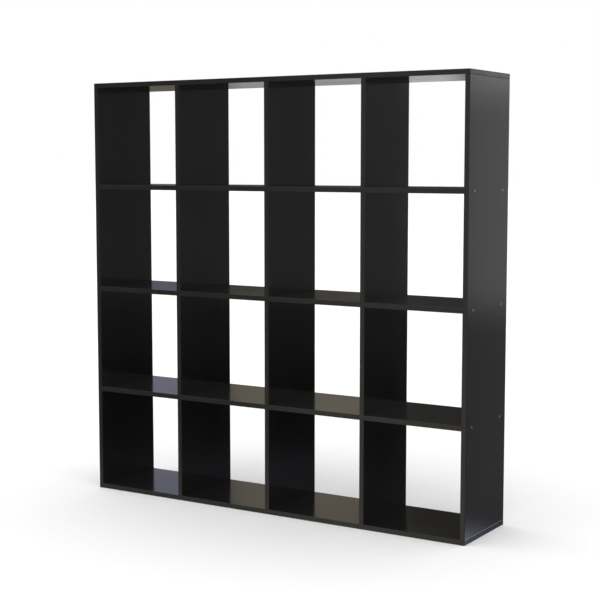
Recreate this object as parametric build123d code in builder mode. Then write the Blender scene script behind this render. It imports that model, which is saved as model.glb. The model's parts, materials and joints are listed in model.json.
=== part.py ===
from build123d import *
import os

# An open-backed cube storage unit: four columns by four rows of cubbies in thin board.
#
# Millimetres, +Z up. The origin is on the floor, under the middle of the unit. The
# front faces -Y, and +X is to the right of a person who faces the front.
#
# The top and bottom panels run the full width and cap the two side panels. Three
# shelves run from side to side, and short dividers stand in line between them. Each
# board is a chipboard core with a plastic band glued along every edge that shows.
# One-piece connector screws go through the outer panels, and wooden dowels line up
# every joint. At a crossing the dowels pass right through the shelf.

# Driving dimensions
width = 1420.0
height = 1420.0
depth = 290.0
board = 16.0
columns = 4
rows = 4
column_pitch = 354.0  # from middle to middle of the dividers
row_pitch = 354.0  # from middle to middle of the shelves
band = 2.0
band_round = 0.8  # along the front and the back
end_band_round = 1.6  # across the ends of the top and bottom panels
joint_inset = 41.0  # screws and crossing dowels, from the front and from the back

# One-piece connector screw, with a countersunk head and a hexagon socket
screw_length = 50.0
head_radius = 3.5
head_rim = 0.2
head_recess = 0.2  # the head's face, below the panel's face
seat_angle = 90.0
shank_radius = 2.25
shank_length = 14.0
thread_radius = 2.5
thread_root_radius = 1.7
thread_pitch = 3.0
thread_flat = 0.4
tip_length = 3.0
socket_across_flats = 3.0
socket_depth = 2.6

# Fluted wooden dowels
dowel_radius = 4.0
dowel_chamfer = 0.8
flute_radius = 0.45
flute_count = 12
joint_dowel_in_face = 10.0
joint_dowel_in_end = 20.0
crossing_dowel_in_end = 16.0

# Room around the fasteners and past their ends
clearance = 0.1
end_room = 1.0

# Derived dimensions
core_depth = depth - 2 * band
inner_width = width - 2 * board
inner_height = height - 2 * board
joint_rows = (joint_inset - depth / 2, depth / 2 - joint_inset)
screw_hole_radius = thread_radius + clearance
screw_seat_radius = head_radius + clearance
screw_seat_depth = head_recess + head_rim
screw_hole_in_end = screw_length + head_recess - board + end_room
dowel_hole_radius = dowel_radius + clearance
joint_dowel_length = joint_dowel_in_face + joint_dowel_in_end
crossing_dowel_length = board + 2 * crossing_dowel_in_end

# Where the boards stand and lie, by their middle planes
side_place = (width - board) / 2
divider_places = [column_pitch * (column - columns / 2) for column in range(1, columns)]
upright_places = [-side_place, *divider_places, side_place]
shelf_levels = [height / 2 + row_pitch * (row - rows / 2) for row in range(1, rows)]
row_floors = [board, *[level + board / 2 for level in shelf_levels]]
row_ceilings = [*[level - board / 2 for level in shelf_levels], height - board]

side_names = {"left": -1, "right": 1}
shelf_names = ("lower_shelf", "middle_shelf", "upper_shelf")
divider_names = ("left", "middle", "right")

rightward = (1, 0, 0)
leftward = (-1, 0, 0)
backward = (0, 1, 0)
upward = (0, 0, 1)
downward = (0, 0, -1)

os.makedirs("parts", exist_ok=True)


def save(piece, name):
    """Label a finished piece and write it."""
    piece.part.label = name
    export_step(piece.part, f"parts/{name}.step")


def points(xs, ys, zs):
    """Every combination of the given coordinates."""
    return [(x, y, z) for x in xs for y in ys for z in zs]


def stations(places, direction):
    """A location at each place, with its own Z axis along the direction."""
    return [Plane(origin=place, z_dir=direction).location for place in places]


# ---------------------------------------------------------------------------
# Holes. Each is drilled from a face of the board against that face's direction.
# ---------------------------------------------------------------------------

def drill_screw_seats(places, direction):
    """Countersunk holes through an outer panel, for screws flush with its face."""
    with Locations(*stations(places, direction)):
        CounterSinkHole(screw_hole_radius, screw_seat_radius, counter_sink_angle=seat_angle)


def drill_screw_holes(places, direction):
    """Blind holes in a board's end, as wide as the thread that bites into them."""
    with Locations(*stations(places, direction)):
        Hole(screw_hole_radius, screw_hole_in_end)


def drill_dowel_holes(places, direction, dowel_share):
    """Blind holes that take the given share of a dowel's length."""
    with Locations(*stations(places, direction)):
        Hole(dowel_hole_radius, dowel_share + end_room)


def drill_screwed_end(x_places, levels, direction):
    """A board's end that meets an outer panel: two screws and a dowel between them."""
    drill_screw_holes(points(x_places, joint_rows, levels), direction)
    drill_dowel_holes(points(x_places, [0], levels), direction, joint_dowel_in_end)


# ---------------------------------------------------------------------------
# Edge bands, with their outer edges rounded over
# ---------------------------------------------------------------------------

def save_long_bands(name, start, across, along, length):
    """The front and back bands of a board whose ends butt against other boards.

    The front band runs `along` from `start`, a point on the middle of its outer face.
    """
    with BuildPart() as bands:
        with BuildSketch(Plane(origin=start, x_dir=across, z_dir=along)) as section:
            Rectangle(board, band, align=(Align.CENTER, Align.MIN))
            fillet(section.vertices().group_by(Axis.Y)[0], band_round)
        extrude(amount=length)
        mirror(about=Plane.XZ)
    save(bands, name)


def save_capping_bands(panel_name, level):
    """The bands of the top or bottom panel, whose corners all show.

    Two end bands lie between a front and a back band that run the full width.
    """
    with BuildPart() as long_bands:
        with BuildSketch(Plane.XZ.offset(core_depth / 2)):
            with Locations((0, level)):
                Rectangle(width, board)
        extrude(amount=band)
        glued_face = long_bands.faces().sort_by(Axis.Y)[-1]
        fillet(long_bands.edges() - glued_face.edges(), band_round)
        mirror(about=Plane.XZ)
    save(long_bands, f"{panel_name}_bands")

    with BuildPart() as end_bands:
        start = (-width / 2, -core_depth / 2, level)
        with BuildSketch(Plane(origin=start, x_dir=upward, z_dir=backward)) as section:
            Rectangle(board, band, align=(Align.CENTER, Align.MIN))
            fillet(section.vertices().group_by(Axis.Y)[0], end_band_round)
        extrude(amount=core_depth)
        mirror(about=Plane.YZ)
    save(end_bands, f"{panel_name}_end_bands")


# ---------------------------------------------------------------------------
# Top and bottom panels
# ---------------------------------------------------------------------------

def save_capping_panel(name, level, outward):
    """A full-width panel. `outward` is 1 where its outer face looks up, and -1 down."""
    seat_level = level + outward * (board / 2 - screw_seat_depth)
    inner_face = level - outward * board / 2
    with BuildPart() as panel:
        with BuildSketch(Plane.XY.offset(level - board / 2)):
            Rectangle(width - 2 * band, core_depth)
        extrude(amount=board)
        drill_screw_seats(points(upright_places, joint_rows, [seat_level]), (0, 0, outward))
        drill_dowel_holes(
            points(upright_places, [0], [inner_face]), (0, 0, -outward), joint_dowel_in_face
        )
    save(panel, name)


save_capping_panel("top_panel", height - board / 2, 1)
save_capping_bands("top_panel", height - board / 2)
save_capping_panel("bottom_panel", board / 2, -1)
save_capping_bands("bottom_panel", board / 2)


# ---------------------------------------------------------------------------
# Side panels, standing between the top and bottom panels
# ---------------------------------------------------------------------------

for side_name, outward in side_names.items():
    place = outward * side_place
    seat_place = outward * (width / 2 - screw_seat_depth)
    inner_face = outward * inner_width / 2
    with BuildPart() as side_panel:
        with BuildSketch(Plane.XY.offset(board)):
            with Locations((place, 0)):
                Rectangle(board, core_depth)
        extrude(amount=inner_height)
        drill_screw_seats(points([seat_place], joint_rows, shelf_levels), (outward, 0, 0))
        drill_dowel_holes(
            points([inner_face], [0], shelf_levels), (-outward, 0, 0), joint_dowel_in_face
        )
        drill_screwed_end([place], [height - board], upward)
        drill_screwed_end([place], [board], downward)
    save(side_panel, f"{side_name}_side_panel")
    save_long_bands(
        f"{side_name}_side_bands", (place, -depth / 2, board), rightward, upward, inner_height
    )


# ---------------------------------------------------------------------------
# Shelves, from side panel to side panel
# ---------------------------------------------------------------------------

for shelf_name, level in zip(shelf_names, shelf_levels):
    with BuildPart() as shelf:
        with BuildSketch(Plane.XY.offset(level - board / 2)):
            Rectangle(inner_width, core_depth)
        extrude(amount=board)
        with Locations(*stations(points(divider_places, joint_rows, [level]), upward)):
            Hole(dowel_hole_radius)
        drill_screwed_end([inner_width / 2], [level], rightward)
        drill_screwed_end([-inner_width / 2], [level], leftward)
    save(shelf, shelf_name)
    save_long_bands(
        f"{shelf_name}_bands", (inner_width / 2, -depth / 2, level), upward, leftward, inner_width
    )


# ---------------------------------------------------------------------------
# Dividers, row by row from the bottom
# ---------------------------------------------------------------------------

for row, (floor, ceiling) in enumerate(zip(row_floors, row_ceilings), start=1):
    for divider_name, place in zip(divider_names, divider_places):
        with BuildPart() as divider:
            with BuildSketch(Plane.XY.offset(floor)):
                with Locations((place, 0)):
                    Rectangle(board, core_depth)
            extrude(amount=ceiling - floor)
            for level, direction, meets_panel in (
                (floor, downward, row == 1),
                (ceiling, upward, row == rows),
            ):
                if meets_panel:
                    drill_screwed_end([place], [level], direction)
                else:
                    crossing = points([place], joint_rows, [level])
                    drill_dowel_holes(crossing, direction, crossing_dowel_in_end)
        save(divider, f"divider_row{row}_{divider_name}")
        save_long_bands(
            f"divider_row{row}_{divider_name}_bands",
            (place, -depth / 2, floor),
            rightward,
            upward,
            ceiling - floor,
        )


# ---------------------------------------------------------------------------
# Fasteners. Each is made with its entry end at the origin, running down.
# ---------------------------------------------------------------------------

with BuildPart() as screw:
    cone_bottom = head_rim + head_radius - shank_radius
    thread_length = screw_length - shank_length - tip_length
    outline = [
        (0, 0),
        (head_radius, 0),
        (head_radius, -head_rim),
        (shank_radius, -cone_bottom),
        (shank_radius, -shank_length),
    ]
    for turn in range(int(thread_length / thread_pitch)):
        turn_top = -shank_length - turn * thread_pitch
        crest = turn_top - thread_pitch / 2
        outline += [
            (thread_root_radius, turn_top - thread_flat / 2),
            (thread_radius, crest + thread_flat / 2),
            (thread_radius, crest - thread_flat / 2),
            (thread_root_radius, turn_top - thread_pitch + thread_flat / 2),
        ]
    outline += [(thread_root_radius, tip_length - screw_length), (0, -screw_length)]
    with BuildSketch(Plane.XZ):
        with BuildLine():
            Polyline(*outline, close=True)
        make_face()
    revolve(axis=Axis.Z)
    with BuildSketch():
        RegularPolygon(socket_across_flats / 2, 6, major_radius=False)
    extrude(amount=-socket_depth, mode=Mode.SUBTRACT)


def fluted_dowel(length):
    """A wooden dowel with chamfered ends and glue flutes along it."""
    with BuildPart() as dowel:
        with BuildSketch():
            Circle(dowel_radius)
            with PolarLocations(dowel_radius, flute_count):
                Circle(flute_radius, mode=Mode.SUBTRACT)
        extrude(amount=-length)
        with BuildSketch(Plane.XZ):
            with BuildLine():
                Polyline(
                    (0, 0),
                    (dowel_radius - dowel_chamfer, 0),
                    (dowel_radius, -dowel_chamfer),
                    (dowel_radius, dowel_chamfer - length),
                    (dowel_radius - dowel_chamfer, -length),
                    (0, -length),
                    close=True,
                )
            make_face()
        revolve(axis=Axis.Z, mode=Mode.INTERSECT)
    return dowel.part


joint_dowel = fluted_dowel(joint_dowel_length)
crossing_dowel = fluted_dowel(crossing_dowel_length)


def save_fasteners(name, fastener, places, direction):
    """One node of equal fasteners, each driven in against the direction."""
    with BuildPart() as group:
        with Locations(*stations(places, direction)):
            add(fastener)
    save(group, name)


for panel_name, outward, outer_face, inner_face in (
    ("top_panel", 1, height, height - board),
    ("bottom_panel", -1, 0, board),
):
    head_level = outer_face - outward * head_recess
    dowel_end = inner_face + outward * joint_dowel_in_face
    save_fasteners(
        f"{panel_name}_screws",
        screw.part,
        points(upright_places, joint_rows, [head_level]),
        (0, 0, outward),
    )
    save_fasteners(
        f"{panel_name}_dowels",
        joint_dowel,
        points(upright_places, [0], [dowel_end]),
        (0, 0, outward),
    )

for side_name, outward in side_names.items():
    head_place = outward * (width / 2 - head_recess)
    dowel_end = outward * (inner_width / 2 + joint_dowel_in_face)
    save_fasteners(
        f"{side_name}_side_screws",
        screw.part,
        points([head_place], joint_rows, shelf_levels),
        (outward, 0, 0),
    )
    save_fasteners(
        f"{side_name}_side_dowels",
        joint_dowel,
        points([dowel_end], [0], shelf_levels),
        (outward, 0, 0),
    )

for shelf_name, level in zip(shelf_names, shelf_levels):
    save_fasteners(
        f"{shelf_name}_crossing_dowels",
        crossing_dowel,
        points(divider_places, joint_rows, [level + crossing_dowel_length / 2]),
        upward,
    )
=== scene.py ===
import json
import math

import bpy
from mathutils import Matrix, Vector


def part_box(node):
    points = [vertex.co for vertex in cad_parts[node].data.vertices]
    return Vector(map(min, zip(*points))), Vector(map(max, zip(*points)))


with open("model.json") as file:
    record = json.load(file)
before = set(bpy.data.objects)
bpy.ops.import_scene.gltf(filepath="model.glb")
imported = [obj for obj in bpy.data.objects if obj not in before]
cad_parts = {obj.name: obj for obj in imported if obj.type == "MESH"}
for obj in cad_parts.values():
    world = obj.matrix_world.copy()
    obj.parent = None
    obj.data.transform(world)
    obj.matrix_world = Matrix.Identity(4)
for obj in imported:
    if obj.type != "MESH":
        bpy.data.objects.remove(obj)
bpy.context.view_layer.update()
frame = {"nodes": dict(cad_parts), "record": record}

nodes = frame["nodes"]

# The camera stands at the unit's right front. Its place is in metres, its angles in degrees.
CAMERA_PLACE = (2.390, -3.785, 1.1425)
CAMERA_TURN = 31.86
CAMERA_DIP = 5.72
LENS_MM = 81.27
SENSOR_MM = 36.0

# In metres, as every length below.
MICROMETRE = 0.000001


# ---------------------------------------------------------------------------
# Small helpers for shader trees
# ---------------------------------------------------------------------------

def new_material(name):
    """A node material with its tree, and its Principled shader wired to the output."""
    material = bpy.data.materials.new(name)
    material.use_nodes = True
    tree = material.node_tree
    tree.nodes.clear()
    output = tree.nodes.new("ShaderNodeOutputMaterial")
    shader = tree.nodes.new("ShaderNodeBsdfPrincipled")
    tree.links.new(shader.outputs["BSDF"], output.inputs["Surface"])
    return material, tree, shader


def add_node(tree, kind, inputs=None, **settings):
    """A shader node with its settings and its input values or links."""
    made = tree.nodes.new(kind)
    for key, value in settings.items():
        setattr(made, key, value)
    for key, value in (inputs or {}).items():
        if isinstance(value, bpy.types.NodeSocket):
            tree.links.new(value, made.inputs[key])
        else:
            made.inputs[key].default_value = value
    return made


def math_node(tree, operation, first, second=0.0):
    """The result of one operation on one or two numbers."""
    node = add_node(tree, "ShaderNodeMath", {0: first, 1: second}, operation=operation)
    return node.outputs[0]


def ramp(tree, value, low, high, bottom=0.0, top=1.0):
    """A value mapped smoothly from low..high to bottom..top."""
    inputs = {"Value": value, "From Min": low, "From Max": high, "To Min": bottom, "To Max": top}
    node = add_node(tree, "ShaderNodeMapRange", inputs, interpolation_type="SMOOTHSTEP")
    return node.outputs["Result"]


def opaque(colour):
    """Three numbers get an alpha of 1. A socket stays as it is."""
    return (*colour, 1) if isinstance(colour, tuple) else colour


def mix_colours(tree, factor, first, second):
    """The first colour where the factor is 0, the second where it is 1."""
    inputs = {0: factor, 6: opaque(first), 7: opaque(second)}
    return add_node(tree, "ShaderNodeMix", inputs, data_type="RGBA").outputs[2]


def mix_numbers(tree, factor, first, second):
    """The first number where the factor is 0, the second where it is 1."""
    return add_node(tree, "ShaderNodeMix", {0: factor, 2: first, 3: second}).outputs[0]


def noise(tree, vector, per_metre, detail=2.0, roughness=0.5):
    """Noise with a grain of about 1 / per_metre metres."""
    inputs = {"Vector": vector, "Scale": per_metre, "Detail": detail, "Roughness": roughness}
    return add_node(tree, "ShaderNodeTexNoise", inputs).outputs["Fac"]


def cells(tree, vector, per_metre):
    """Irregular cells of about 1 / per_metre metres: their colours and distances."""
    return add_node(tree, "ShaderNodeTexVoronoi", {"Vector": vector, "Scale": per_metre}).outputs


def place(tree, factors=(1, 1, 1)):
    """Object coordinates in metres, times a factor along each axis.

    A small factor draws a pattern out along its axis.
    """
    coordinates = add_node(tree, "ShaderNodeTexCoord")
    inputs = {"Vector": coordinates.outputs["Object"], "Scale": factors}
    return add_node(tree, "ShaderNodeMapping", inputs).outputs["Vector"]


def split(tree, vector):
    """A vector's X, Y and Z."""
    return add_node(tree, "ShaderNodeSeparateXYZ", {"Vector": vector}).outputs


def bump(tree, height, depth, below=None):
    """A bump of the given depth in metres, on top of another one if there is one."""
    inputs = {"Height": height, "Distance": depth, "Strength": 1.0}
    if below is not None:
        inputs["Normal"] = below
    return add_node(tree, "ShaderNodeBump", inputs).outputs["Normal"]


# ---------------------------------------------------------------------------
# Materials
# ---------------------------------------------------------------------------

BOARD_SLOT = "black_melamine_board"

# Each board material has a pair of black tones and a pair of roughness values, which its
# clouds vary between. Painted light: the boards that lie flat are painted a little paler,
# as if more light fell on them, and the upright ones darker, as if in shade. The flat
# boards are also a little duller.
LIT_LEVEL_TONES = ((0.0072, 0.0070, 0.0066), (0.0094, 0.0091, 0.0086))
LEVEL_ROUGHNESS = (0.13, 0.16)
SHADED_UPRIGHT_TONES = ((0.0050, 0.0049, 0.0047), (0.0066, 0.0064, 0.0061))
UPRIGHT_ROUGHNESS = (0.095, 0.115)
SPECK_COLOUR = (0.012, 0.012, 0.012)

# Painted highlight: a pale bluish hairline on the side panels' outer faces just above the bottom
# panel, standing in for light caught by the bottom panel's rounded end band: its height in
# metres, its soft edge, its colour.
JOINT_HIGHLIGHT_HEIGHT = 0.0014
JOINT_HIGHLIGHT_SOFTNESS = 0.0003
JOINT_HIGHLIGHT_COLOUR = (0.25, 0.25, 0.265)

CHIPBOARD_ROUGHNESS = 0.85
CHIP_RELIEF = 300 * MICROMETRE

# Factors for place, which draw a pattern out fifty times along one axis.
ALONG_X = (0.02, 1.0, 1.0)
ALONG_Z = (1.0, 1.0, 0.02)


def chipboard(tree, vector):
    """Colour and height of a cut chipboard face: pale and dark wood chips in glue."""
    chips = cells(tree, vector, per_metre=700.0)
    fibres = noise(tree, vector, per_metre=1800.0, detail=3.0)
    pale = mix_colours(tree, chips["Color"], (0.30, 0.19, 0.10), (0.52, 0.37, 0.21))
    dark = ramp(tree, fibres, low=0.35, high=0.7, top=0.5)
    return mix_colours(tree, dark, pale, (0.16, 0.09, 0.045)), chips["Distance"]


def make_board_material(name, facing, tones, roughness, highlight_below=None):
    """Black melamine foil on a board's two broad faces, chipboard where it is cut or drilled.

    The broad faces are at right angles to the axis called facing. Where an outer board
    stands on another one, a pale bluish hairline is painted on its outer face, below the
    height given by the last argument: a painted highlight standing in for light caught by
    the rounded band beneath.
    """
    material, tree, shader = new_material(name)
    vector = place(tree)
    normal = add_node(tree, "ShaderNodeTexCoord").outputs["Normal"]
    turned = split(tree, normal)[facing]
    foil = ramp(tree, math_node(tree, "ABSOLUTE", turned), low=0.6, high=0.9)

    clouds = noise(tree, vector, per_metre=5.0, detail=4.0)
    smudges = noise(tree, vector, per_metre=28.0, detail=5.0, roughness=0.6)
    pearl = noise(tree, vector, per_metre=1300.0, detail=1.5)
    specks = noise(tree, vector, per_metre=2600.0, detail=1.0)

    speckled = ramp(tree, specks, low=0.66, high=0.74, top=0.35)
    black = mix_colours(tree, speckled, mix_colours(tree, clouds, *tones), SPECK_COLOUR)
    # Painted highlight: a pale bluish hairline along the foot of the outer face, standing in for
    # light caught by the rounded band beneath.
    if highlight_below is not None:
        where = split(tree, vector)
        side = math_node(tree, "MULTIPLY", where[facing], turned)
        outward = math_node(tree, "GREATER_THAN", side, 0.0)
        edge = highlight_below - JOINT_HIGHLIGHT_SOFTNESS
        low_down = ramp(tree, where["Z"], low=edge, high=highlight_below, bottom=1.0, top=0.0)
        painted_highlight = math_node(tree, "MULTIPLY", low_down, outward)
        black = mix_colours(tree, painted_highlight, black, JOINT_HIGHLIGHT_COLOUR)
    core, chips = chipboard(tree, vector)
    tree.links.new(mix_colours(tree, foil, core, black), shader.inputs["Base Color"])

    smoothest, roughest = roughness
    sheen = ramp(tree, clouds, low=0.3, high=0.7, bottom=smoothest, top=roughest)
    dulled = ramp(tree, smudges, low=0.5, high=0.8, top=0.03)
    gloss = mix_numbers(tree, foil, CHIPBOARD_ROUGHNESS, math_node(tree, "ADD", sheen, dulled))
    tree.links.new(gloss, shader.inputs["Roughness"])

    fine = bump(tree, pearl, depth=1 * MICROMETRE)
    bare = math_node(tree, "SUBTRACT", 1.0, foil)
    rough = bump(tree, math_node(tree, "MULTIPLY", chips, bare), depth=CHIP_RELIEF, below=fine)
    tree.links.new(rough, shader.inputs["Normal"])
    return material


def make_band_material():
    """Black plastic edge band: a little warmer than the foil, with faint scraper lines."""
    material, tree, shader = new_material("black_edge_band")
    vector = place(tree)
    upright = noise(tree, place(tree, ALONG_Z), per_metre=900.0)
    level = noise(tree, place(tree, ALONG_X), per_metre=900.0)
    lines = math_node(tree, "MULTIPLY", upright, level)
    grain = noise(tree, vector, per_metre=1400.0)
    clouds = noise(tree, vector, per_metre=12.0, detail=3.0)

    colour = mix_colours(tree, clouds, (0.0060, 0.0057, 0.0050), (0.0085, 0.0080, 0.0070))
    tree.links.new(colour, shader.inputs["Base Color"])
    gloss = ramp(tree, clouds, low=0.3, high=0.7, bottom=0.13, top=0.17)
    tree.links.new(gloss, shader.inputs["Roughness"])
    fine = bump(tree, grain, depth=5 * MICROMETRE)
    scraped = bump(tree, lines, depth=10 * MICROMETRE, below=fine)
    tree.links.new(scraped, shader.inputs["Normal"])
    return material


def make_screw_material():
    """Zinc-plated steel with a fine grain, and a film that is paler and duller in places."""
    material, tree, shader = new_material("zinc_screw")
    vector = place(tree)
    film = noise(tree, vector, per_metre=260.0, detail=3.0)
    grain = noise(tree, vector, per_metre=5200.0, detail=1.0)
    colour = mix_colours(tree, film, (0.80, 0.81, 0.82), (0.92, 0.93, 0.95))
    tree.links.new(colour, shader.inputs["Base Color"])
    shader.inputs["Metallic"].default_value = 1.0
    gloss = ramp(tree, film, low=0.35, high=0.7, bottom=0.3, top=0.45)
    tree.links.new(gloss, shader.inputs["Roughness"])
    tree.links.new(bump(tree, grain, depth=8 * MICROMETRE), shader.inputs["Normal"])
    return material


def make_dowel_material():
    """Planed beech: small dark flecks and fine fibres."""
    material, tree, shader = new_material("beech_dowel")
    vector = place(tree)
    flecks = cells(tree, vector, per_metre=900.0)["Distance"]
    fibres = noise(tree, vector, per_metre=1600.0, detail=3.0)
    figure = noise(tree, vector, per_metre=60.0)
    wood = mix_colours(tree, figure, (0.55, 0.36, 0.20), (0.68, 0.49, 0.30))
    dark = ramp(tree, flecks, low=0.05, high=0.25, bottom=0.45, top=0.0)
    colour = mix_colours(tree, dark, wood, (0.30, 0.17, 0.08))
    tree.links.new(colour, shader.inputs["Base Color"])
    gloss = ramp(tree, fibres, low=0.3, high=0.7, bottom=0.55, top=0.75)
    tree.links.new(gloss, shader.inputs["Roughness"])
    tree.links.new(bump(tree, fibres, depth=40 * MICROMETRE), shader.inputs["Normal"])
    return material


def make_materials():
    """Every material, under its slot in the record or, for a board, under its kind."""
    # Painted light: the level boards get the paler tones, as if more light fell on them, and the
    # upright and side boards get the darker ones, as if in shade.
    level = ("Z", LIT_LEVEL_TONES, LEVEL_ROUGHNESS)
    upright = ("X", SHADED_UPRIGHT_TONES, UPRIGHT_ROUGHNESS)
    # The painted highlight on the side panels ends this high above the bottom panel.
    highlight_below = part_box("bottom_panel")[1].z + JOINT_HIGHLIGHT_HEIGHT
    return {
        "level_board": make_board_material("black_melamine_level", *level),
        "upright_board": make_board_material("black_melamine_upright", *upright),
        "side_board": make_board_material("black_melamine_side", *upright, highlight_below),
        "black_edge_band": make_band_material(),
        "zinc_screw": make_screw_material(),
        "beech_dowel": make_dowel_material(),
    }


def material_key(subpart):
    """The name that make_materials keeps a sub-part's material under."""
    if subpart["material_slot"] != BOARD_SLOT:
        return subpart["material_slot"]
    if "side_panel" in subpart["node"]:
        return "side_board"
    if "divider" in subpart["node"]:
        return "upright_board"
    return "level_board"


materials = make_materials()
for subpart in frame["record"]["subparts"]:
    for material_slot in nodes[subpart["node"]].material_slots:
        material_slot.material = materials[material_key(subpart)]


# ---------------------------------------------------------------------------
# Floor, light and camera
# ---------------------------------------------------------------------------

# Half the floor's side, in metres, far past the camera's view.
FLOOR_REACH = 60.0


def make_floor():
    """White paper that the boards don't mirror."""
    reach = FLOOR_REACH
    corners = [(-reach, -reach, 0), (reach, -reach, 0), (reach, reach, 0), (-reach, reach, 0)]
    mesh = bpy.data.meshes.new("floor")
    mesh.from_pydata(corners, [], [(0, 1, 2, 3)])
    floor = bpy.data.objects.new("floor", mesh)
    bpy.context.scene.collection.objects.link(floor)
    material, _, shader = new_material("floor_paper")
    shader.inputs["Base Color"].default_value = (0.96, 0.96, 0.96, 1)
    shader.inputs["Roughness"].default_value = 0.9
    shader.inputs["Specular IOR Level"].default_value = 0.0
    mesh.materials.append(material)
    floor.visible_glossy = False


# The studio around the unit, as panels painted over one another on a plain wall. In
# degrees, each has its azimuths (from straight behind the unit, positive towards its right
# side), its elevations, and the width of its soft edges across and upward. Its colour
# carries its brightness.
ALL_ROUND = (-181, 181)
PANELS = (
    ("ceiling", ALL_ROUND, (24, 91), (10, 10), (1.46, 1.46, 1.46)),
    ("back_ceiling", (-70, 70), (24, 91), (30, 10), (1.20, 1.20, 1.20)),
    ("ground", ALL_ROUND, (-91, -7), (3, 2), (0.02, 0.02, 0.02)),
    ("front_ground", (-181, -120), (-40, -7), (4, 4), (0.75, 0.73, 0.66)),
    ("front_gap", (-147.5, -120), (-14, 20), (4, 4), (0.26, 0.26, 0.25)),
    ("dim_back", (-60, 60), (-8, 26), (4, 3), (0.045, 0.042, 0.038)),
    ("blue_low", (-60, -36), (-2, 7.5), (1.5, 1.5), (0.11, 0.11, 0.14)),
    ("blue_window", (-60, -36), (7.5, 26), (1.5, 3), (0.38, 0.39, 0.49)),
    ("sand_wall", (-35, -28), (8, 26), (1, 1.5), (0.33, 0.30, 0.24)),
    ("low_back_warm", (-60, -35), (-8, -2.5), (2, 2), (0.22, 0.20, 0.15)),
    ("low_back_light", (-35, -28), (-8, -2.5), (2, 2), (0.60, 0.58, 0.62)),
    ("low_back_bright", (-28, -25), (-8, -2.5), (2, 2), (0.86, 0.86, 0.92)),
    ("right_panel", (14, 25.9), (-6.5, 2.8), (1, 2.4), (0.54, 0.54, 0.55)),
    ("right_panel_top", (14, 25.9), (2.9, 10), (1, 2.2), (1.24, 1.25, 1.30)),
    ("right_wall", (25.9, 31), (-5.7, 4.5), (1, 0.8), (0.15, 0.15, 0.15)),
    ("right_far_wall", (31, 50), (-5.7, 4.5), (1, 0.8), (0.18, 0.18, 0.18)),
    ("right_sky", (25.9, 50), (4.5, 16), (1, 2), (0.19, 0.19, 0.19)),
    ("right_ground", (14, 25.9), (-14.8, -6.5), (1, 2.6), (0.18, 0.18, 0.18)),
    ("inner_ground", (30.5, 50), (-30, -12.2), (3, 0.8), (0.10, 0.10, 0.125)),
    ("blue_ground", (23.3, 26.6), (-28, -15.4), (1, 1), (1.30, 1.38, 1.80)),
)
WALL_COLOUR = (0.54, 0.535, 0.52)
PAPER_WHITE = (1, 1, 1, 1)


def between(tree, angle, limits, softness):
    """1 where the angle is between its limits and 0 outside, with a soft step of that width."""
    low, high = limits
    middle = (low + high) / 2
    half = (high - low) / 2
    offset = math_node(tree, "ABSOLUTE", math_node(tree, "SUBTRACT", angle, middle))
    return ramp(tree, offset, half - softness / 2, half + softness / 2, bottom=1.0, top=0.0)


def make_world():
    """The panels light the unit and are mirrored in it. The camera itself sees white paper."""
    world = bpy.data.worlds.new("studio")
    world.use_nodes = True
    bpy.context.scene.world = world
    tree = world.node_tree
    tree.nodes.clear()

    direction = split(tree, add_node(tree, "ShaderNodeTexCoord").outputs["Generated"])
    degrees = 180 / math.pi
    bearing = math_node(tree, "ARCTAN2", direction["X"], direction["Y"])
    azimuth = math_node(tree, "MULTIPLY", bearing, degrees)
    elevation = math_node(tree, "MULTIPLY", math_node(tree, "ARCSINE", direction["Z"]), degrees)

    colour = WALL_COLOUR
    for name, azimuths, elevations, (soft_across, soft_upward), panel_colour in PANELS:
        across = between(tree, azimuth, azimuths, soft_across)
        upward = between(tree, elevation, elevations, soft_upward)
        inside = math_node(tree, "MULTIPLY", across, upward)
        colour = mix_colours(tree, inside, colour, panel_colour)
        colour.node.label = name

    light = add_node(tree, "ShaderNodeBackground", {"Color": colour}).outputs[0]
    paper = add_node(tree, "ShaderNodeBackground", {"Color": PAPER_WHITE}).outputs[0]
    seen = add_node(tree, "ShaderNodeLightPath").outputs["Is Camera Ray"]
    both = add_node(tree, "ShaderNodeMixShader", {0: seen, 1: light, 2: paper}).outputs[0]
    add_node(tree, "ShaderNodeOutputWorld", {"Surface": both})


def make_camera():
    """The camera, level from side to side, turned and dipped towards the unit."""
    data = bpy.data.cameras.new("camera")
    data.lens = LENS_MM
    data.sensor_width = SENSOR_MM
    camera = bpy.data.objects.new("camera", data)
    camera.location = CAMERA_PLACE
    camera.rotation_euler = (math.radians(90 - CAMERA_DIP), 0, math.radians(CAMERA_TURN))
    bpy.context.scene.collection.objects.link(camera)
    bpy.context.scene.camera = camera


make_floor()
make_world()
make_camera()
bpy.context.scene.view_settings.view_transform = "Standard"
